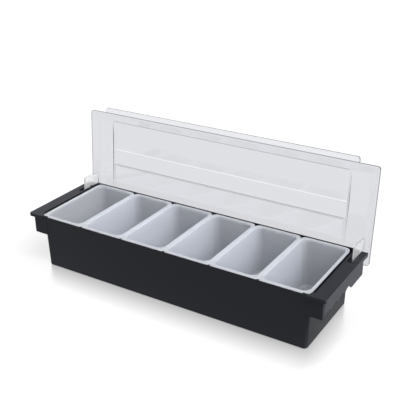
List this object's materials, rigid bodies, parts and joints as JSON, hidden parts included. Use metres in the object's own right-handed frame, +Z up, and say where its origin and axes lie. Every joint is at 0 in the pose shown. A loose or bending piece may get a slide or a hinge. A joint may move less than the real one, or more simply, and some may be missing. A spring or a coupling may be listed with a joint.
{
  "type": "bar garnish tray",
  "caption": "Long low bar garnish tray: dark moulded housing with hand grips at the ends, a row of lift-out cups, and a clear hinged lid standing open behind them.",
  "frame": {"origin": "centre of the tray's footprint, on the flat base that it stands on", "axes": "+X along the tray to its right end, +Y to the hinge side at the rear, +Z up"},
  "size_m": [0.495, 0.1668, 0.214],
  "materials": {
    "housing_plastic": "satin moulded ABS, charcoal black",
    "insert_plastic": "satin moulded polypropylene, light grey",
    "clear_plastic": "clear polished acrylic"
  },
  "bodies": {
    "housing": {"housing": "housing_plastic"},
    "lid": {"lid": "clear_plastic"},
    "insert_1": {"insert_1": "insert_plastic"},
    "insert_2": {"insert_2": "insert_plastic"},
    "insert_3": {"insert_3": "insert_plastic"},
    "insert_4": {"insert_4": "insert_plastic"},
    "insert_5": {"insert_5": "insert_plastic"},
    "insert_6": {"insert_6": "insert_plastic"}
  },
  "joints": [
    {"name": "lid_hinge", "type": "hinge", "parent": "housing", "child": "lid", "pos_m": [0, 0.0646, 0.07413], "axis": [-1, 0, 0], "range_deg": [-95, 0]},
    {"name": "insert_1_lift", "type": "slide", "parent": "housing", "child": "insert_1", "axis": [0, 0, 1], "range_m": [0, 0.09]},
    {"name": "insert_2_lift", "type": "slide", "parent": "housing", "child": "insert_2", "axis": [0, 0, 1], "range_m": [0, 0.09]},
    {"name": "insert_3_lift", "type": "slide", "parent": "housing", "child": "insert_3", "axis": [0, 0, 1], "range_m": [0, 0.09]},
    {"name": "insert_4_lift", "type": "slide", "parent": "housing", "child": "insert_4", "axis": [0, 0, 1], "range_m": [0, 0.09]},
    {"name": "insert_5_lift", "type": "slide", "parent": "housing", "child": "insert_5", "axis": [0, 0, 1], "range_m": [0, 0.09]},
    {"name": "insert_6_lift", "type": "slide", "parent": "housing", "child": "insert_6", "axis": [0, 0, 1], "range_m": [0, 0.09]}
  ]
}
